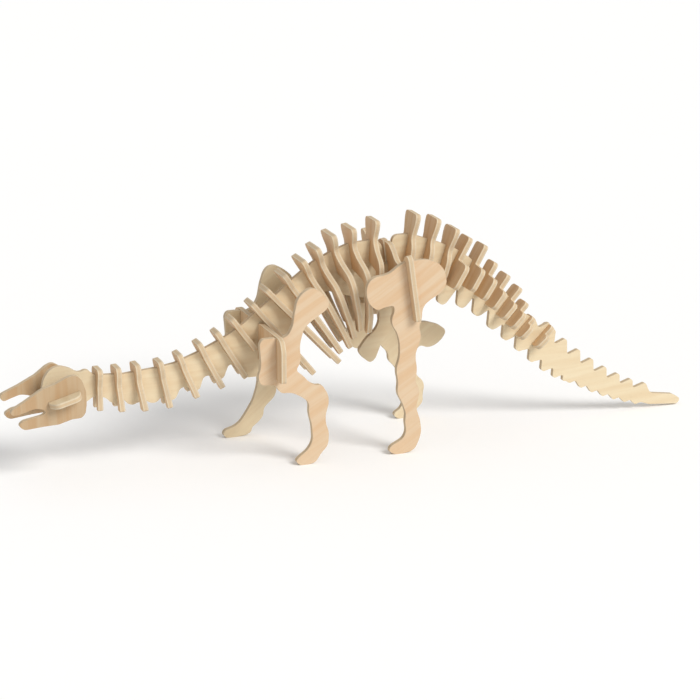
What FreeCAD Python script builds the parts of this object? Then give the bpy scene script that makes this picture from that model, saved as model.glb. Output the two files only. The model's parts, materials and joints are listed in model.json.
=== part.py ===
import FreeCAD, Part
import math
import os

os.makedirs("parts", exist_ok=True)

# Long-necked dinosaur skeleton, a slot-together model of 3 mm plywood.
# Frame: mm, +Z up, floor at Z = 0, head towards -X, tail towards +X, the animal's left side towards -Y.
# Backbone, legs and jaws stand in X-Z planes. Ribs, vertebrae and girdles cross them in half-depth slots.

ply = 3.0
play = 0.05
slot_wide = ply + 2 * play
lap_gap = 0.1
far_out = 200.0

leg_offset = 29.5
jaw_offset = 12.0

girdle_front_x = -55.0
girdle_front_lap = 60.0
girdle_rear_x = 17.5
girdle_rear_z = 107.0
girdle_rear_lean = 8.0
hip_lap = 18.0

# Corner radii of the outlines. A short edge beside a corner makes its radius smaller.
backbone_radius = 10.0
tail_radius = 4.0
leg_radius = 18.0
jaw_radius = 7.0
girdle_radius = 6.0
neck_radius = 6.0
rib_radius = 14.0
sacral_radius = 8.0
tail_plate_radius = 3.0

cheek_x = -166.5
cheek_z = 44.8
cheek_lean = 15.5

# Thin end of the tail, measured forwards from tail_end_x: an upper and a lower line, each a quadratic curve.
tail_end_x = 180.0
tooth_count = 7
tooth_pitch = 8.2
first_tooth_x = 116.5
wave_pitch = 6.8
last_wave_x = 171.0

ACROSS = FreeCAD.Vector(0, 1, 0)


def rounded_wire(corners, radius):
    """Closed wire in the local X-Y plane: straight edges, every corner rounded.

    A corner is (x, y) or (x, y, own_radius). A corner with too little edge beside it gets a smaller radius.
    """
    count = len(corners)
    points = [FreeCAD.Vector(c[0], c[1], 0) for c in corners]
    starts = []
    ends = []
    middles = []
    for i in range(count):
        here = points[i]
        before = points[i - 1] - here
        after = points[(i + 1) % count] - here
        want = corners[i][2] if len(corners[i]) > 2 else radius
        half = before.getAngle(after) / 2
        room = 0.47 * min(before.Length, after.Length)
        reach = min(want / math.tan(half), room)
        before.normalize()
        after.normalize()
        bisector = before + after
        bent = bisector.Length > 0.02 and reach > 0.02
        if not bent:
            starts.append(here)
            ends.append(here)
            middles.append(None)
            continue
        bisector.normalize()
        fillet = reach * math.tan(half)
        centre = here + bisector * (fillet / math.sin(half))
        starts.append(here + before * reach)
        ends.append(here + after * reach)
        middles.append(centre - bisector * fillet)
    edges = []
    for i in range(count):
        if middles[i] is not None:
            edges.append(Part.Arc(starts[i], middles[i], ends[i]).toShape())
        edges.append(Part.LineSegment(ends[i], starts[(i + 1) % count]).toShape())
    return Part.Wire(edges)


def blank(corners, radius):
    """Plywood blank: an outline in the local X-Y plane, thickened evenly about that plane."""
    face = Part.Face(rounded_wire(corners, radius))
    return face.extrude(FreeCAD.Vector(0, 0, ply)).translated(FreeCAD.Vector(0, 0, -ply / 2))


def upright(corners, radius, y):
    """A plate in an X-Z plane at the given Y. Its corners are (x, z)."""
    shape = blank(corners, radius)
    shape.rotate(FreeCAD.Vector(0, 0, 0), FreeCAD.Vector(1, 0, 0), 90)
    shape.translate(FreeCAD.Vector(0, y, 0))
    return shape


def crossing(half, radius):
    """A plate in the Y-Z plane from one half outline of (y, z), mirrored about Y = 0."""
    other = [(-c[0],) + tuple(c[1:]) for c in reversed(half)]
    shape = blank(list(half) + other, radius)
    shape.rotate(FreeCAD.Vector(0, 0, 0), FreeCAD.Vector(1, 1, 1), 120)
    return shape


def box(x0, x1, y0, y1, z0, z1):
    return Part.makeBox(x1 - x0, y1 - y0, z1 - z0, FreeCAD.Vector(x0, y0, z0))


def place(shape, x, z, lean):
    """Tips a plate that was drawn about the origin. A positive lean swings its lower end towards the tail."""
    moved = shape.copy()
    moved.rotate(FreeCAD.Vector(0, 0, 0), ACROSS, -lean)
    moved.translate(FreeCAD.Vector(x, 0, z))
    return moved


def slot_down_to(depth):
    """The gap that a crossing plate needs in a plate along X, open upwards, its floor at -depth."""
    return box(-slot_wide / 2, slot_wide / 2, -far_out, far_out, -depth, far_out)


def slot_up_to(depth, y=0.0):
    """The gap that a plate along X needs in a crossing plate, open downwards, its roof at -depth."""
    low = -far_out
    return box(-far_out, far_out, y - slot_wide / 2, y + slot_wide / 2, low, -depth + lap_gap)


# ---------------------------------------------------------------- backbone outlines, (x, z)

SKULL_TOP = [
    (-176.0, 45.0), (-174.5, 53.0), (-171.0, 58.0), (-166.0, 59.5), (-160.0, 57.5),
    (-155.5, 54.5), (-151.0, 56.5), (-147.5, 52.5),
]
NECK_TOP = [
    (-131.0, 51.5), (-113.0, 53.0), (-103.0, 54.5), (-90.5, 59.0), (-75.0, 66.0), (-65.0, 72.0),
    (-57.5, 78.0), (-45.0, 87.5), (-36.5, 94.5), (-25.5, 102.5), (-15.0, 107.5), (-5.0, 111.0),
    (14.5, 112.5),
]
# The rear end drops to a tongue that hooks over the tail plate's tongue inside the rear girdle.
FRONT_HOOK = [
    (14.5, 98.0, 0.8), (27.4, 98.0, 0.8), (27.4, 88.0, 0.8), (24.4, 88.0, 0.6), (24.4, 90.1, 0.6),
    (14.9, 90.1, 0.8),
]
PUBIS = [
    (14.9, 79.9, 0.1), (19.5, 74.0), (20.5, 63.0), (13.5, 53.0), (10.5, 45.5), (7.5, 43.5),
    (3.0, 47.0), (0.5, 51.0), (5.0, 57.0), (12.5, 63.5), (13.0, 73.0), (8.0, 79.5),
]
BELLY = [
    (-3.0, 82.0), (-12.0, 84.0), (-18.0, 87.0), (-26.0, 80.0), (-38.0, 68.0), (-47.0, 53.0),
    (-52.0, 42.5),
]
# Rounded lobes under the neck, rear to front, with the dips between them, then the throat.
NECK_LOBES = [
    (-62.5, 42.5), (-65.0, 43.5), (-69.0, 50.0), (-73.0, 51.0), (-76.0, 43.5), (-79.0, 43.0),
    (-82.0, 45.5), (-87.0, 46.0), (-89.5, 38.5), (-93.0, 38.0), (-95.5, 40.5), (-100.0, 41.0),
    (-103.0, 34.5), (-107.0, 34.5), (-110.0, 38.0), (-113.0, 34.0), (-117.0, 34.0), (-122.0, 38.0),
    (-125.0, 34.0), (-129.0, 34.5), (-132.0, 38.5), (-135.0, 36.0), (-138.5, 36.5), (-141.0, 39.5),
    (-147.0, 41.5), (-151.5, 38.5), (-158.0, 36.0), (-170.0, 38.0),
]

TAIL_TOP = [
    (20.0, 98.2, 0.8), (20.0, 113.5, 3.5), (28.0, 113.5), (36.0, 111.5), (47.0, 107.5), (57.0, 103.0),
    (65.0, 97.5), (72.0, 91.0), (78.5, 84.5), (87.0, 75.5), (93.0, 67.5), (98.5, 62.5),
    (105.0, 58.5, 1.2), (107.0, 53.5, 1.0), (113.5, 56.0, 1.5), (117.5, 50.5, 1.5),
]
TAIL_TIP = [
    (176.5, 8.5), (190.5, 6.5), (195.5, 3.5), (194.0, 0.5), (176.0, 2.0),
]
# Chevron lobes under the thick part of the tail, rear to front: front edge x, its top z, the lobe's drop.
CHEVRONS = [
    (122.5, 25.0, 4.0), (116.5, 29.5, 6.0), (109.5, 35.0, 7.0), (102.0, 42.0, 8.0), (94.0, 50.5, 9.5),
    (86.0, 58.0, 10.0), (77.5, 67.0, 12.0), (68.5, 75.5, 12.0), (59.0, 81.5, 12.5), (47.5, 84.5, 12.5),
]
TAIL_ROOT = [
    (36.0, 84.0), (27.4, 80.0),
]
TAIL_HOOK = [
    (15.1, 80.0, 0.8), (15.1, 89.9, 0.8), (24.2, 89.9, 0.6), (24.2, 87.8, 0.6), (27.6, 87.8, 0.6),
    (27.6, 98.2, 0.6),
]

# ---------------------------------------------------------------- leg outlines, (x, z)

SHOULDER_LEFT = [
    (-52.5, 71.0, 1.5), (-49.5, 72.5), (-47.0, 77.0), (-46.0, 84.0), (-44.5, 91.0), (-41.0, 95.0),
    (-36.0, 97.0), (-31.0, 94.0), (-26.5, 88.0), (-28.0, 84.5), (-38.0, 78.0), (-41.0, 75.0),
    (-43.5, 66.0), (-42.5, 58.0), (-45.5, 52.5),
]
SHOULDER_RIGHT = [
    (-52.5, 71.0, 1.5), (-49.5, 72.5), (-46.5, 77.0), (-45.0, 85.0), (-43.0, 91.5), (-40.5, 94.5),
    (-36.5, 95.0), (-31.0, 92.0), (-26.0, 87.5), (-27.0, 78.0), (-28.5, 64.0), (-32.0, 57.5),
]
SHOULDER_LOBE = [
    (-65.0, 46.5), (-66.5, 51.0), (-64.5, 57.0), (-65.5, 69.0), (-64.0, 71.5), (-57.5, 71.5),
]
FRONT_LEG_BACK = [
    (-42.0, 50.0), (-38.0, 45.5), (-34.5, 43.5), (-31.0, 43.5), (-27.5, 38.0), (-27.0, 33.0),
    (-29.0, 26.5), (-28.8, 21.5), (-27.0, 17.0), (-27.5, 9.5), (-31.5, 5.5), (-34.5, 1.0),
    (-38.0, 0.0, 1.0), (-43.5, 0.0), (-45.8, 2.5), (-44.0, 4.5), (-38.5, 8.5), (-36.0, 13.5),
    (-36.8, 22.0), (-38.5, 29.0), (-38.0, 34.5), (-42.5, 38.0), (-48.0, 41.0), (-54.0, 41.0),
    (-56.5, 45.0), (-57.5, 46.0),
]
FRONT_LEG_FORWARD = [
    (-35.0, 55.0), (-32.5, 48.0), (-33.0, 38.0), (-36.0, 30.0), (-36.5, 21.5), (-41.5, 17.0),
    (-43.5, 15.0), (-44.0, 10.5), (-46.5, 7.5), (-50.5, 4.5), (-51.0, 2.0), (-54.0, 0.5),
    (-60.0, 0.0, 1.0), (-65.5, 0.0), (-67.3, 2.3), (-66.0, 4.5), (-60.5, 6.0), (-57.0, 8.5),
    (-53.5, 13.5), (-49.5, 20.0), (-47.5, 26.5), (-46.5, 32.0), (-50.5, 42.0),
]

HIP_LEFT = [
    (9.5, 83.0, 1.5), (4.5, 82.5), (0.5, 81.0), (-4.0, 84.5), (-6.0, 90.5), (-5.0, 96.5), (-1.0, 99.5),
    (6.5, 100.0), (12.0, 104.0), (17.0, 106.5), (28.0, 106.5), (34.5, 104.5), (38.5, 100.0),
    (40.0, 92.5), (37.5, 88.0), (31.0, 84.5), (27.5, 82.0),
]
HIP_RIGHT = [
    (9.5, 83.0, 1.5), (4.5, 82.5), (0.5, 81.5), (-4.0, 84.0), (-6.0, 88.5), (-5.0, 93.5), (-1.0, 96.0),
    (6.5, 96.5), (12.0, 100.0), (17.0, 102.5), (28.0, 103.0), (34.0, 101.0), (38.5, 97.0),
    (40.5, 91.0), (38.0, 87.0), (34.0, 83.0),
]
REAR_LEG_UNDER = [
    (26.0, 79.0), (25.5, 73.0), (24.0, 70.0), (25.5, 64.5), (24.0, 60.0), (22.3, 56.0), (22.3, 52.0),
    (23.2, 46.0), (22.0, 40.0), (24.5, 35.5), (24.3, 31.0), (22.5, 25.5), (25.0, 18.0),
    (25.8, 12.0), (25.0, 8.0), (22.5, 2.5), (20.0, 0.8), (15.5, 0.0, 1.0), (10.0, 0.0),
    (7.0, 2.5), (8.3, 4.8), (15.5, 8.5), (17.2, 12.5), (16.3, 18.0), (17.0, 22.0),
    (15.0, 28.0), (11.7, 34.5), (12.5, 40.0), (11.0, 47.5), (13.3, 54.0), (13.3, 61.0),
    (12.0, 67.5), (8.0, 73.5), (10.3, 80.5),
]
REAR_LEG_BACK = [
    (33.0, 74.0), (34.0, 60.0), (35.5, 52.5), (41.0, 52.5), (49.5, 55.5), (60.0, 52.0), (64.0, 48.5),
    (62.0, 44.5), (58.0, 41.0), (53.0, 39.5), (47.5, 42.0), (45.5, 36.0), (44.5, 30.0),
    (46.5, 24.0), (50.0, 21.0), (51.0, 17.5), (50.0, 13.0), (50.3, 8.5), (46.5, 4.5),
    (41.5, 0.5), (39.5, 0.0, 1.0), (35.0, 0.0), (32.3, 3.0), (37.0, 6.0), (38.5, 9.5),
    (36.5, 17.0), (37.0, 24.0), (34.0, 30.0), (29.5, 34.5), (29.5, 39.0), (25.5, 43.0),
    (23.5, 48.0), (24.0, 58.0), (22.5, 68.0), (20.0, 71.0), (17.5, 68.0), (17.0, 56.0),
    (17.5, 49.0), (14.0, 43.0), (9.0, 43.5), (4.5, 50.0), (6.0, 56.0), (9.5, 64.0), (9.0, 74.0),
]

# ---------------------------------------------------------------- head outlines

JAW_LEFT = [
    (-155.5, 36.0), (-154.8, 41.0), (-155.0, 48.0), (-157.0, 54.0), (-160.0, 57.3), (-165.0, 56.5),
    (-171.0, 53.5), (-178.0, 51.5), (-188.0, 45.5), (-195.2, 41.5), (-195.0, 38.8), (-191.0, 38.8),
    (-182.5, 41.5), (-178.0, 40.5), (-176.5, 38.8, 0.8), (-178.5, 37.2), (-189.0, 35.3), (-191.5, 33.0),
    (-188.5, 30.3), (-178.0, 31.2), (-170.0, 31.5), (-163.0, 33.5), (-157.5, 33.8),
]
JAW_RIGHT = [
    (-155.5, 36.0), (-154.8, 41.0), (-156.0, 48.0), (-159.5, 53.0), (-163.0, 56.0), (-166.5, 58.0),
    (-170.0, 56.5), (-176.0, 52.0), (-185.0, 47.5), (-194.5, 43.5), (-195.0, 41.0), (-193.0, 39.5),
    (-189.0, 41.0), (-184.0, 42.5), (-179.0, 41.5), (-176.5, 39.0, 0.8), (-179.0, 37.0), (-189.5, 35.0),
    (-193.5, 32.5), (-190.5, 29.5), (-178.0, 31.0), (-170.0, 31.5), (-163.0, 33.5), (-157.5, 33.8),
]

# ---------------------------------------------------------------- crossing plates
# Each station gives the middle of the plate's top edge (x, z) and its lean in degrees.

NECK_STATIONS = [
    (-145.0, 56.0, 0.0), (-135.0, 56.0, 3.0), (-124.5, 56.5, 6.0), (-112.0, 57.0, 11.0),
    (-101.5, 60.0, 20.0), (-90.5, 65.0, 26.0), (-80.5, 70.0, 31.0), (-72.0, 76.5, 36.0),
]
RIB_STATIONS = [
    (-61.0, 84.0, 39.5), (-53.0, 91.0, 43.0), (-43.5, 98.5, 35.0), (-33.0, 105.5, 28.0),
    (-25.0, 111.5, 22.0), (-16.0, 118.0, 15.0), (-4.5, 120.5, 7.0), (9.5, 123.5, -3.5),
]
SACRAL_STATIONS = [
    (33.0, 125.0, -10.0), (45.0, 121.5, -14.0), (56.0, 115.0, -18.0),
]
TAIL_STATIONS = [
    (64.5, 109.0, -29.0), (73.5, 104.0, -29.0), (80.0, 93.5, -31.5), (87.5, 86.0, -36.0),
    (95.0, 78.0, -41.0), (99.0, 69.0, -43.0), (103.5, 60.0, -45.0), (114.5, 54.0, -46.0),
]

# Depth below the plate's top edge at which backbone and plate meet.
NECK_LAPS = [11.5, 11.5, 11.5, 11.5, 12.0, 12.5, 13.5, 13.5]
RIB_LAPS = [18.0, 19.0, 19.5, 19.0, 20.0, 22.0, 21.0, 23.0]
SACRAL_LAPS = [23.0, 23.5, 19.5]
TAIL_LAPS = [17.0, 17.0, 13.5, 13.0, 12.5, 11.0, 9.0, 11.0]

# Neck vertebrae: length, half-width at the lower end. The last one stops short of the front girdle.
NECK_SIZES = [
    (22.5, 5.0), (23.5, 8.0), (24.0, 11.5), (26.0, 6.5), (25.0, 10.0), (28.0, 8.0), (30.5, 7.0), (22.0, 7.0),
]
# Rib pairs: half-width of the spine's top, widest half-width, half-width at the tips, length.
RIB_SIZES = [
    (7.5, 9.5, 6.5, 54.0), (7.5, 10.5, 6.5, 60.0), (8.5, 11.5, 7.0, 56.0), (9.5, 13.0, 8.0, 57.0),
    (9.5, 17.0, 9.0, 55.0), (9.5, 22.0, 11.0, 55.0), (9.0, 24.0, 12.5, 57.0), (8.0, 18.0, 11.0, 50.0),
]
# Tail vertebrae: half-width of the post, its length, half-width of the body, the plate's full height.
TAIL_SIZES = [
    (6.0, 13.5, 18.5, 28.5), (6.0, 11.5, 17.0, 25.5), (5.0, 7.5, 15.0, 21.0), (5.5, 8.5, 13.5, 20.5),
    (5.0, 8.5, 12.5, 20.0), (5.0, 5.5, 11.5, 16.5), (4.5, 4.5, 10.0, 14.0), (5.5, 6.0, 9.5, 15.0),
]


def neck_half(length, tip):
    """Slim neck vertebra, waisted under its top, with two short arms that straddle the backbone."""
    waist = 4.6
    return [
        (6.2, 0.0, 3.0), (6.0, -5.0), (waist, -9.5), ((tip + waist) / 2, -0.68 * length), (tip, -length, 0.8),
        (0.45 * tip, -length, 0.8), (0.42 * tip, -0.72 * length), (2.0, -0.6 * length, 0.8),
    ]


def rib_half(top, widest, tip, length):
    """Rib pair: a square-topped spine, a waist, then two arms curving round the chest."""
    shoulder = 21.0
    arm = 5.4
    mid = 0.45 * widest + 0.55 * tip
    return [
        (top, 0.0, 3.0), (top - 0.6, -4.5), (5.2, -10.5), (0.4 * widest + 1.5, -15.5),
        (widest - 1.5, -shoulder), (widest, -0.52 * length), (mid + 1.8, -0.82 * length),
        (tip + 1.2, -length, 1.4), (tip - 3.0, -length, 1.4), (mid - 3.6, -0.8 * length),
        (widest - arm, -0.52 * length), (widest - arm - 1.0, -shoulder - 5.0, 3.0),
        (2.6, -shoulder - 2.5, 0.8),
    ]


def sacral_half(length):
    """Hip vertebra: a tall square spine on a short forked body."""
    return [
        (8.0, 0.0, 2.5), (7.6, -5.0), (5.4, -13.0), (8.8, -18.0), (9.2, -length + 5.0),
        (7.4, -length, 1.4), (3.6, -length, 1.4), (2.6, -length + 5.0, 0.8),
    ]


def tail_half(post, neck, body, height):
    """Tail vertebra: a narrow post that steps out square to a broad rounded body."""
    return [
        (post, 0.0, 2.2), (post - 0.2, -neck, 1.0), (body, -neck - 0.6, 3.0), (body - 0.8, -height, 3.0),
    ]


def rise(forward, start, slope, bend):
    """Height of a gently curved line along the tail's thin end, at a distance forward of tail_end_x."""
    return start + slope * forward + bend * forward ** 2


def saw_teeth():
    """Teeth on the tail's thin end, each a slow rise and a sheer drop, smaller towards the tip."""
    corners = []
    for i in range(tooth_count):
        dip = tail_end_x - first_tooth_x - i * tooth_pitch
        peak = dip - tooth_pitch
        corners.append((tail_end_x - dip, rise(dip, 8.3, 0.22, 0.0051), 1.0))
        corners.append((tail_end_x - peak - 0.3, rise(peak, 12.9, 0.32, 0.0051), 1.6))
    return corners


def waves():
    """Shallow waves under the tail's thin end, from the tip forwards."""
    corners = []
    for i in range(tooth_count):
        high = tail_end_x - last_wave_x + i * wave_pitch
        low = high + 0.55 * wave_pitch
        corners.append((tail_end_x - high, rise(high, 1.8, 0.185, 0.0039), 1.2))
        corners.append((tail_end_x - low, rise(low, 0.3, 0.15, 0.0039), 1.2))
    return corners


def chevron(x, top, drop):
    """One lobe under the tail: a sheer front edge below (x, top) and a rounded foot."""
    return [
        (x + 0.32 * drop, top - 0.95 * drop), (x + 0.13 * drop, top - drop),
        (x - 0.08 * drop, top - 0.83 * drop), (x, top, 0.8),
    ]


def backbone_slots(shape, stations, laps):
    """Cuts the upward slots that hold a row of crossing plates."""
    for (x, z, lean), lap in zip(stations, laps):
        shape = shape.cut(place(slot_down_to(lap), x, z, lean))
    return shape


def rear_girdle_frame(shape):
    return place(shape, girdle_rear_x, girdle_rear_z, girdle_rear_lean)


def cheek_frame(shape):
    """Tips the cheek plate's flat layout nose down and carries it to the head."""
    return place(shape, cheek_x, cheek_z, cheek_lean)


def make_front_backbone():
    corners = SKULL_TOP + NECK_TOP + FRONT_HOOK + PUBIS + BELLY + NECK_LOBES
    shape = upright(corners, backbone_radius, 0.0)
    shape = backbone_slots(shape, NECK_STATIONS, NECK_LAPS)
    shape = backbone_slots(shape, RIB_STATIONS, RIB_LAPS)
    girdle_gap = box(-slot_wide / 2, slot_wide / 2, -ply, ply, -far_out, girdle_front_lap - 1.0)
    shape = shape.cut(girdle_gap.translated(FreeCAD.Vector(girdle_front_x, 0, 0)))
    cheek_gap = box(-far_out, 0, -ply, ply, -slot_wide / 2, slot_wide / 2)
    shape = shape.cut(cheek_frame(cheek_gap))
    return shape


def make_tail_backbone():
    corners = TAIL_TOP + saw_teeth() + TAIL_TIP + waves()
    for lobe in CHEVRONS:
        corners += chevron(*lobe)
    corners += TAIL_ROOT + TAIL_HOOK
    shape = upright(corners, tail_radius, 0.0)
    shape = backbone_slots(shape, SACRAL_STATIONS, SACRAL_LAPS)
    shape = backbone_slots(shape, TAIL_STATIONS, TAIL_LAPS)
    web_gap = box(-slot_wide / 2, slot_wide / 2, -ply, ply, -far_out, -22.0)
    return shape.cut(rear_girdle_frame(web_gap))


def make_front_girdle():
    """Shoulder cross plate: the legs hang on its ends and the backbone sits in its middle slot."""
    half = [(33.0, 72.0), (37.0, 71.0), (39.5, 66.0), (39.5, 48.5, 1.5), (24.0, 48.5), (20.0, 52.0)]
    shape = crossing(half, girdle_radius).translated(FreeCAD.Vector(girdle_front_x, 0, 0))
    middle = box(-far_out, 0, -slot_wide / 2, slot_wide / 2, girdle_front_lap - 1.0 - lap_gap, far_out)
    shape = shape.cut(middle)
    for side in (-1, 1):
        y = side * leg_offset
        gap = box(-far_out, 0, y - slot_wide / 2, y + slot_wide / 2, -far_out, girdle_front_lap)
        shape = shape.cut(gap)
    return shape


def make_rear_girdle():
    """Hip cross plate: a split middle hump takes both backbone tongues, the hips hang on its ends."""
    half = [
        (2.0, 3.8), (7.0, 3.8), (10.5, 0.5), (14.0, -4.5), (19.0, -5.5), (25.0, -3.0), (30.0, 2.0),
        (33.5, 3.5), (36.0, 1.5), (36.0, -33.5, 1.5), (25.5, -33.5), (20.0, -28.0), (8.0, -28.0),
    ]
    shape = crossing(half, girdle_radius)
    shape = shape.cut(box(-ply, ply, -slot_wide / 2, slot_wide / 2, -22.0 - lap_gap, far_out))
    for side in (-1, 1):
        shape = shape.cut(slot_up_to(hip_lap, side * leg_offset))
    return rear_girdle_frame(shape)


def make_front_leg(upper, lower, y):
    shape = upright(upper + lower + SHOULDER_LOBE, leg_radius, y)
    floor = girdle_front_lap - lap_gap
    gap = box(-slot_wide / 2, slot_wide / 2, -far_out, far_out, floor, far_out)
    return shape.cut(gap.translated(FreeCAD.Vector(girdle_front_x, 0, 0)))


def make_rear_leg(upper, lower, y):
    shape = upright(upper + lower, leg_radius, y)
    gap = slot_down_to(hip_lap)
    return shape.cut(rear_girdle_frame(gap))


def make_jaw(outline, y):
    shape = upright(outline, jaw_radius, y)
    mortise = box(-8.85, 8.85, -ply, ply, -slot_wide / 2, slot_wide / 2)
    return shape.cut(cheek_frame(mortise).translated(FreeCAD.Vector(0, y, 0)))


def make_cheek():
    """Cheek plate lying across the head: shoulders stop the jaws, the round ends stand out beyond them."""
    shoulder = jaw_offset - ply / 2 - play
    half = [
        (9.6, shoulder, 0.3), (8.8, shoulder, 0.0), (8.8, 15.5), (6.5, 21.0),
        (-6.5, 21.0), (-8.8, 15.5), (-8.8, shoulder, 0.0), (-9.6, shoulder, 0.3),
    ]
    other = [(c[0], -c[1]) + tuple(c[2:]) for c in reversed(half)]
    shape = blank(half + other, 5.0)
    gap = box(-lap_gap, far_out, -slot_wide / 2, slot_wide / 2, -ply, ply)
    return cheek_frame(shape.cut(gap))


def make_crossing_plate(half, radius, station, lap):
    x, z, lean = station
    shape = crossing(half, radius).cut(slot_up_to(lap))
    return place(shape, x, z, lean)


nodes = {
    "front_backbone": make_front_backbone(),
    "tail_backbone": make_tail_backbone(),
    "front_girdle": make_front_girdle(),
    "rear_girdle": make_rear_girdle(),
    "front_leg_left": make_front_leg(SHOULDER_LEFT, FRONT_LEG_BACK, -leg_offset),
    "front_leg_right": make_front_leg(SHOULDER_RIGHT, FRONT_LEG_FORWARD, leg_offset),
    "rear_leg_left": make_rear_leg(HIP_LEFT, REAR_LEG_UNDER, -leg_offset),
    "rear_leg_right": make_rear_leg(HIP_RIGHT, REAR_LEG_BACK, leg_offset),
    "jaw_left": make_jaw(JAW_LEFT, -jaw_offset),
    "jaw_right": make_jaw(JAW_RIGHT, jaw_offset),
    "cheek_plate": make_cheek(),
}

for i, station in enumerate(NECK_STATIONS):
    half = neck_half(*NECK_SIZES[i])
    nodes[f"neck_vertebra_{i + 1}"] = make_crossing_plate(half, neck_radius, station, NECK_LAPS[i])

for i, station in enumerate(RIB_STATIONS):
    half = rib_half(*RIB_SIZES[i])
    nodes[f"rib_pair_{i + 1}"] = make_crossing_plate(half, rib_radius, station, RIB_LAPS[i])

for i, station in enumerate(SACRAL_STATIONS):
    half = sacral_half(SACRAL_LAPS[i] + 11.0)
    nodes[f"sacral_vertebra_{i + 1}"] = make_crossing_plate(half, sacral_radius, station, SACRAL_LAPS[i])

for i, station in enumerate(TAIL_STATIONS):
    half = tail_half(*TAIL_SIZES[i])
    nodes[f"tail_vertebra_{i + 1}"] = make_crossing_plate(half, tail_plate_radius, station, TAIL_LAPS[i])

for name, shape in nodes.items():
    if shape.ShapeType != "Solid" and len(shape.Solids) == 1:
        shape = shape.Solids[0]
    if len(shape.Solids) != 1 or not shape.isValid():
        raise ValueError(f"{name} is not one sound solid: {len(shape.Solids)} solids")
    shape.exportStep(f"parts/{name}.step")
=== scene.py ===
import json
import math

import bpy
from mathutils import Matrix, Vector

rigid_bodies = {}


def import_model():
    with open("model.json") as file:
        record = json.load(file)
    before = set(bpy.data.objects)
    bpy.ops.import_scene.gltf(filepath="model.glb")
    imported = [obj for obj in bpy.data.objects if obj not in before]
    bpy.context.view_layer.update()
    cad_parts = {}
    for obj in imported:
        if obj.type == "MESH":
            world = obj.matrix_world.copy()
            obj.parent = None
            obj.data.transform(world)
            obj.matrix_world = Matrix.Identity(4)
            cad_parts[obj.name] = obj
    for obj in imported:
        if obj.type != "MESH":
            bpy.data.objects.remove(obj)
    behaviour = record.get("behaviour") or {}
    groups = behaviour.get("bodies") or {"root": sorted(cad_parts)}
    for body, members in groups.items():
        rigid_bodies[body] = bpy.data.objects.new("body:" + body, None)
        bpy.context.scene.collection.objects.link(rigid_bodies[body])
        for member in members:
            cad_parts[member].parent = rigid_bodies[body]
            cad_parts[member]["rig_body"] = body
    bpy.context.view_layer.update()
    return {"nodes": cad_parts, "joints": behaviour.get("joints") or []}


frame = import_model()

# The looks of a slot-together plywood skeleton. Every plate is a CAD node, and its own mesh isn't changed.
# Modifiers round its arrises, and its own material gives it face grain and three plies on the cut edges.

MM = 0.001
SHEET = 3.0

# Rounding of the arrises. Slots leave narrow necks on the upright plates, so theirs is finer.
ARRIS_CROSS = 0.28 * MM
ARRIS_UPRIGHT = 0.05 * MM
ARRIS_SEGMENTS = 2
ARRIS_ANGLE = math.radians(50)
WELD = 0.002 * MM
FLAT_ANGLE = math.radians(0.5)

# Camera: looks at the middle of the body from the head's near side, a little above.
VIEW_AZIMUTH = math.radians(-20.4)
VIEW_HEIGHT = math.radians(16.1)
VIEW_DISTANCE = 1.6
VIEW_TARGET = Vector((-0.003634, 0.0, 0.051453))
LENS = 152.2
SENSOR_WIDTH = 36.0
NEAREST = 0.05
FARTHEST = 60.0

# Light: a broad lamp from the tail's near side and an even white surround.
LAMP_STRENGTH = 2.3
LAMP_ANGLE = math.radians(28)
LAMP_COLOUR = (1.0, 0.985, 0.96)
LAMP_SIDE = Vector((0.48, -0.80, 0.74))
SURROUND_COLOUR = (1.0, 1.0, 1.0, 1.0)
SURROUND_STRENGTH = 0.62

# Floor.
FLOOR_HALF = 8.0
FLOOR_CLOUDS = (0.8, 0.8, 0.8)
FLOOR_GREY = (0.93, 0.93, 0.93)
FLOOR_WHITE = (0.96, 0.96, 0.96)
FLOOR_ROUGHNESS = 0.9
FLOOR_SHINE = 0.1

# Colours, linear. Pale and warm are the two ends of the face grain; the rest are for pores and cut edges.
SPINE_PALE = (0.70, 0.60, 0.42)
SPINE_WARM = (0.64, 0.51, 0.33)
LEG_PALE = (0.62, 0.48, 0.33)
LEG_WARM = (0.59, 0.41, 0.25)
# The cross plates' colours are partly the plywood's own grain and partly painted shade: a browner, more
# saturated copy for faces that turn to the head, away from the lamp.
CROSS_PALE_SHADED = (0.69, 0.52, 0.34)
CROSS_WARM_SHADED = (0.62, 0.41, 0.22)
HEAD_PALE = (0.50, 0.37, 0.23)
HEAD_WARM = (0.47, 0.31, 0.17)
EDGE_PALE = (0.62, 0.52, 0.37)
EDGE_CORE = (0.58, 0.44, 0.28)
GLUE_LINE = (0.48, 0.30, 0.15)
SCUFF = (0.42, 0.35, 0.26)
PORE = (0.40, 0.25, 0.12)

# Rise of the face grain on the upright plates, in degrees from +X towards +Z.
SPINE_GRAIN = 4.0
NEAR_LEG_GRAIN = 32.0
FAR_LEG_GRAIN = 40.0
JAW_GRAIN = 92.0

# Half the width of the step from pale to warm streaks. A smaller one makes the streaks crisper.
SPINE_STREAK = 0.28
NEAR_LEG_STREAK = 0.20
FAR_LEG_STREAK = 0.30
JAW_STREAK = 0.14
CHEEK_STREAK = 0.25
CROSS_STREAK = 0.24

# Fineness of each noise per mm: along the grain, across it and through the sheet.
WANDER_FINENESS = (0.022, 0.05, 0.1)
STREAK_FINENESS = (0.014, 0.30, 1.0)
FIBRE_FINENESS = (0.06, 3.2, 1.0)
PORE_FINENESS = (0.35, 7.0, 1.0)
SAW_FINENESS = (1.6, 1.6, 0.25)
WEAR_FINENESS = (0.09, 0.09, 0.2)

# How far the streaks wander across the grain, in mm.
GRAIN_WANDER = 7.0

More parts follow.
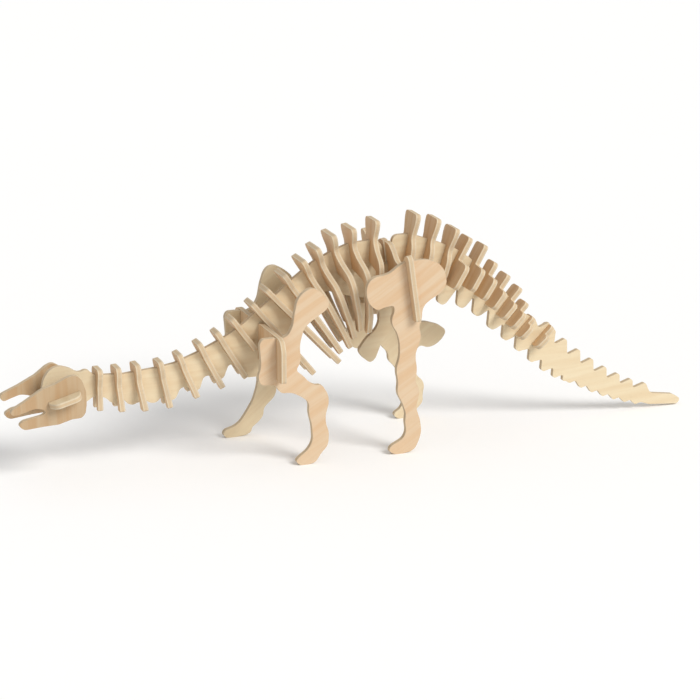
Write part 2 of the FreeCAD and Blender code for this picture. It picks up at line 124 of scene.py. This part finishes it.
# Where each noise starts and stops to show, and its largest share of the colour.
NOISE_MIDDLE = 0.5
FIBRE_RANGE = (0.35, 0.75)
FIBRE_SHARE = 0.16
PORE_RANGE = (0.66, 0.80)
PORE_SHARE = 0.30
SAW_RANGE = (0.45, 0.80)
SAW_SHARE = 0.35
WEAR_RANGE = (0.48, 0.72)
WEAR_SHARE = 0.30

# Plies on the cut edge, in mm from the middle of the sheet. GLUE_RANGE is in mm from the glue line, and
# FACE_RANGE in mm from the face. GLUE_SHARE is the glue line's share of the colour.
CORE_RANGE = (0.50, 0.58)
GLUE_PLACE = 0.56
GLUE_RANGE = (0.03, 0.12)
GLUE_SHARE = 0.55
FACE_RANGE = (0.20, 0.04)

# Differences from plate to plate: each has its own stretch of veneer and its own tone.
VENEER_STEP = (7.3, 13.7, 3.1)
TONE_LEAST = 0.96
TONE_SPAN = 0.08
TONE_STEP = 0.618

# Surface.
ROUGHNESS_RANGE = (0.3, 0.7)
FACE_ROUGHNESS = (0.56, 0.68)
EDGE_ROUGHER = 0.16
SHINE = 0.32
BUMP_STRENGTH = 0.35
BUMP_HEIGHT = 0.06 * MM
EDGE_RELIEF = 1.6


class Tree:
    """Short forms for building one material's nodes."""

    def __init__(self, name):
        self.material = bpy.data.materials.new(name)
        self.material.use_nodes = True
        self.nodes = self.material.node_tree.nodes
        self.links = self.material.node_tree.links
        self.nodes.clear()

    def put(self, socket, value):
        if isinstance(value, bpy.types.NodeSocket):
            self.links.new(value, socket)
        elif isinstance(value, tuple) and socket.type == "RGBA":
            socket.default_value = (*value, 1.0)
        else:
            socket.default_value = value

    def math(self, operation, a, b=0.0):
        node = self.nodes.new("ShaderNodeMath")
        node.operation = operation
        self.put(node.inputs[0], a)
        self.put(node.inputs[1], b)
        return node.outputs[0]

    def split(self, place):
        node = self.nodes.new("ShaderNodeSeparateXYZ")
        self.links.new(place, node.inputs[0])
        return node.outputs

    def stretch(self, place, factors, shift=(0.0, 0.0, 0.0)):
        node = self.nodes.new("ShaderNodeMapping")
        self.put(node.inputs["Vector"], place)
        self.put(node.inputs["Scale"], factors)
        self.put(node.inputs["Location"], shift)
        return node.outputs[0]

    def noise(self, place, detail=2.0):
        node = self.nodes.new("ShaderNodeTexNoise")
        self.put(node.inputs["Vector"], place)
        self.put(node.inputs["Scale"], 1.0)
        self.put(node.inputs["Detail"], detail)
        return node.outputs["Fac"]

    def band(self, value, low, high, start=0.0, end=1.0):
        node = self.nodes.new("ShaderNodeMapRange")
        node.interpolation_type = "SMOOTHSTEP"
        for name, number in (("From Min", low), ("From Max", high), ("To Min", start), ("To Max", end)):
            self.put(node.inputs[name], number)
        self.put(node.inputs["Value"], value)
        return node.outputs["Result"]

    def mix(self, share, a, b):
        node = self.nodes.new("ShaderNodeMix")
        node.data_type = "RGBA"
        self.put(node.inputs["Factor"], share)
        self.put(node.inputs[6], a)
        self.put(node.inputs[7], b)
        return node.outputs[2]

    def finish(self, shader):
        output = self.nodes.new("ShaderNodeOutputMaterial")
        self.links.new(shader.outputs[0], output.inputs[0])
        return self.material


def sheet_place(tree, along, normal, centre):
    """Place within the sheet in mm: x along the grain, y across it, z out from the middle of the sheet."""
    turn = Matrix((along, normal.cross(along), normal))
    coordinates = tree.nodes.new("ShaderNodeTexCoord")
    node = tree.nodes.new("ShaderNodeMapping")
    node.inputs["Rotation"].default_value = turn.to_euler("XYZ")
    node.inputs["Scale"].default_value = (1 / MM, 1 / MM, 1 / MM)
    node.inputs["Location"].default_value = -(turn @ centre) / MM
    tree.links.new(coordinates.outputs["Object"], node.inputs["Vector"])
    return node.outputs[0]


def face_colour(tree, place, shift, pale, warm, streak):
    """Broad soft streaks along the grain, fine fibre lines and short dark pores."""
    wander = tree.noise(tree.stretch(place, WANDER_FINENESS, shift))
    across = tree.math("MULTIPLY", wander, GRAIN_WANDER)
    parts = tree.split(place)
    bent = tree.nodes.new("ShaderNodeCombineXYZ")
    tree.links.new(parts[0], bent.inputs[0])
    tree.links.new(tree.math("ADD", parts[1], across), bent.inputs[1])
    grain = bent.outputs[0]
    streaks = tree.noise(tree.stretch(grain, STREAK_FINENESS, shift), 3.0)
    fibres = tree.noise(tree.stretch(grain, FIBRE_FINENESS, shift), 3.0)
    pores = tree.noise(tree.stretch(grain, PORE_FINENESS, shift), 1.0)
    colour = tree.mix(tree.band(streaks, NOISE_MIDDLE - streak, NOISE_MIDDLE + streak), pale, warm)
    colour = tree.mix(tree.band(fibres, *FIBRE_RANGE, 0.0, FIBRE_SHARE), colour, warm)
    colour = tree.mix(tree.band(pores, *PORE_RANGE, 0.0, PORE_SHARE), colour, PORE)
    return colour, fibres


def edge_colour(tree, place, shift, depth):
    """Pale outer plies, a browner core, thin glue lines between them, and scuffed saw marks on the cut."""
    core = tree.band(depth, *CORE_RANGE, 1.0, 0.0)
    from_glue = tree.math("ABSOLUTE", tree.math("SUBTRACT", depth, GLUE_PLACE))
    glue = tree.math("SUBTRACT", 1.0, tree.band(from_glue, *GLUE_RANGE))
    colour = tree.mix(core, EDGE_PALE, EDGE_CORE)
    colour = tree.mix(tree.math("MULTIPLY", glue, GLUE_SHARE), colour, GLUE_LINE)
    marks = tree.noise(tree.stretch(place, SAW_FINENESS, shift), 3.0)
    wear = tree.noise(tree.stretch(place, WEAR_FINENESS, shift), 2.0)
    colour = tree.mix(tree.band(marks, *SAW_RANGE, 0.0, SAW_SHARE), colour, SCUFF)
    colour = tree.mix(tree.band(wear, *WEAR_RANGE, 0.0, WEAR_SHARE), colour, SCUFF)
    return colour, marks


def plywood(name, along, normal, centre, pale, warm, streak, index):
    """One plate's material. The index gives every plate its own stretch of veneer and its own tone."""
    tree = Tree(name)
    shift = tuple(step * index for step in VENEER_STEP)
    tone = TONE_LEAST + TONE_SPAN * (index * TONE_STEP % 1.0)
    pale = tuple(tone * c for c in pale)
    warm = tuple(tone * c for c in warm)
    place = sheet_place(tree, along, normal, centre)
    depth = tree.math("ABSOLUTE", tree.split(place)[2])
    on_edge = tree.band(depth, SHEET / 2 - FACE_RANGE[0], SHEET / 2 - FACE_RANGE[1], 1.0, 0.0)
    face, fibres = face_colour(tree, place, shift, pale, warm, streak)
    edge, marks = edge_colour(tree, place, shift, depth)
    shader = tree.nodes.new("ShaderNodeBsdfPrincipled")
    tree.put(shader.inputs["Base Color"], tree.mix(on_edge, face, edge))
    face_rough = tree.band(fibres, *ROUGHNESS_RANGE, *FACE_ROUGHNESS)
    rough = tree.math("ADD", face_rough, tree.math("MULTIPLY", on_edge, EDGE_ROUGHER))
    tree.put(shader.inputs["Roughness"], rough)
    shader.inputs["Specular IOR Level"].default_value = SHINE
    bump = tree.nodes.new("ShaderNodeBump")
    bump.inputs["Strength"].default_value = BUMP_STRENGTH
    bump.inputs["Distance"].default_value = BUMP_HEIGHT
    cut_marks = tree.math("MULTIPLY", tree.math("MULTIPLY", marks, on_edge), EDGE_RELIEF)
    tree.put(bump.inputs["Height"], tree.math("ADD", fibres, cut_marks))
    tree.links.new(bump.outputs[0], shader.inputs["Normal"])
    return tree.finish(shader)


def slide_axes():
    """The direction in which each body slides out of its slot."""
    return {joint["child"]: Vector(joint["axis"]) for joint in frame["joints"]}


def flat_direction(degrees):
    """A direction in the X-Z plane, raised from +X towards +Z."""
    angle = math.radians(degrees)
    return Vector((math.cos(angle), 0.0, math.sin(angle)))


def is_upright(node):
    """Backbones, legs and jaws stand in the X-Z plane. The other plates cross them."""
    return "backbone" in node or "leg" in node or "jaw" in node


def sheet_look(node, body, axes):
    """Grain direction, sheet normal, face colours and streak width of one plate."""
    upright = Vector((0.0, 1.0, 0.0))
    if "backbone" in node:
        return flat_direction(SPINE_GRAIN), upright, SPINE_PALE, SPINE_WARM, SPINE_STREAK
    if node in ("front_leg_right", "rear_leg_right"):
        return flat_direction(FAR_LEG_GRAIN), upright, SPINE_PALE, SPINE_WARM, FAR_LEG_STREAK
    if "leg" in node:
        return flat_direction(NEAR_LEG_GRAIN), upright, LEG_PALE, LEG_WARM, NEAR_LEG_STREAK
    if "jaw" in node:
        return flat_direction(JAW_GRAIN), upright, HEAD_PALE, HEAD_WARM, JAW_STREAK
    along = axes[body].normalized()
    normal = along.cross(upright).normalized()
    if "cheek" in node:
        return upright, normal, SPINE_PALE, SPINE_WARM, CHEEK_STREAK
    # Cross plates take the browner copy, which is partly painted shade.
    return along, normal, CROSS_PALE_SHADED, CROSS_WARM_SHADED, CROSS_STREAK


def middle_of_sheet(plate, normal):
    """A point halfway through the plate's thickness."""
    heights = [vertex.co.dot(normal) for vertex in plate.data.vertices]
    return normal * (min(heights) + max(heights)) / 2


def soften(plate, width):
    """Rounds the plate's arrises without touching its own vertices."""
    weld = plate.modifiers.new("weld", "WELD")
    weld.merge_threshold = WELD
    plain = plate.modifiers.new("flat_faces", "DECIMATE")
    plain.decimate_type = "DISSOLVE"
    plain.angle_limit = FLAT_ANGLE
    bevel = plate.modifiers.new("arris", "BEVEL")
    bevel.width = width
    bevel.segments = ARRIS_SEGMENTS
    bevel.limit_method = "ANGLE"
    bevel.angle_limit = ARRIS_ANGLE
    bevel.use_clamp_overlap = False
    normals = plate.modifiers.new("normals", "WEIGHTED_NORMAL")
    normals.keep_sharp = False
    for polygon in plate.data.polygons:
        polygon.use_smooth = True


def dress_plates():
    axes = slide_axes()
    for index, name in enumerate(sorted(frame["nodes"])):
        plate = frame["nodes"][name]
        along, normal, pale, warm, streak = sheet_look(name, plate["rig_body"], axes)
        centre = middle_of_sheet(plate, normal)
        birch = plywood(f"birch_{name}", along, normal, centre, pale, warm, streak, index)
        plate.data.materials.clear()
        plate.data.materials.append(birch)
        soften(plate, ARRIS_UPRIGHT if is_upright(name) else ARRIS_CROSS)


def floor_material():
    tree = Tree("pale_floor")
    coordinates = tree.nodes.new("ShaderNodeTexCoord")
    cloud = tree.noise(tree.stretch(coordinates.outputs["Object"], FLOOR_CLOUDS))
    shader = tree.nodes.new("ShaderNodeBsdfPrincipled")
    tree.put(shader.inputs["Base Color"], tree.mix(cloud, FLOOR_GREY, FLOOR_WHITE))
    shader.inputs["Roughness"].default_value = FLOOR_ROUGHNESS
    shader.inputs["Specular IOR Level"].default_value = FLOOR_SHINE
    return tree.finish(shader)


def make_floor():
    half = FLOOR_HALF
    mesh = bpy.data.meshes.new("floor")
    corners = [(-half, -half, 0.0), (half, -half, 0.0), (half, half, 0.0), (-half, half, 0.0)]
    mesh.from_pydata(corners, [], [(0, 1, 2, 3)])
    floor = bpy.data.objects.new("floor", mesh)
    bpy.context.scene.collection.objects.link(floor)
    mesh.materials.append(floor_material())


def make_light():
    lamp = bpy.data.lights.new("window", "SUN")
    lamp.energy = LAMP_STRENGTH
    lamp.angle = LAMP_ANGLE
    lamp.color = LAMP_COLOUR
    holder = bpy.data.objects.new("window", lamp)
    holder.rotation_mode = "QUATERNION"
    holder.rotation_quaternion = LAMP_SIDE.to_track_quat("Z", "Y")
    bpy.context.scene.collection.objects.link(holder)
    world = bpy.data.worlds.new("surround")
    world.use_nodes = True
    background = world.node_tree.nodes["Background"]
    background.inputs["Color"].default_value = SURROUND_COLOUR
    background.inputs["Strength"].default_value = SURROUND_STRENGTH
    bpy.context.scene.world = world


def make_camera():
    back = Vector((
        math.sin(VIEW_AZIMUTH) * math.cos(VIEW_HEIGHT),
        -math.cos(VIEW_AZIMUTH) * math.cos(VIEW_HEIGHT),
        math.sin(VIEW_HEIGHT),
    ))
    data = bpy.data.cameras.new("camera")
    data.lens = LENS
    data.sensor_width = SENSOR_WIDTH
    data.clip_start = NEAREST
    data.clip_end = FARTHEST
    camera = bpy.data.objects.new("camera", data)
    camera.location = VIEW_TARGET + back * VIEW_DISTANCE
    camera.rotation_mode = "QUATERNION"
    camera.rotation_quaternion = back.to_track_quat("Z", "Y")
    bpy.context.scene.collection.objects.link(camera)
    bpy.context.scene.camera = camera


bpy.context.scene.view_settings.view_transform = "Standard"
make_camera()
make_light()
make_floor()
dress_plates()
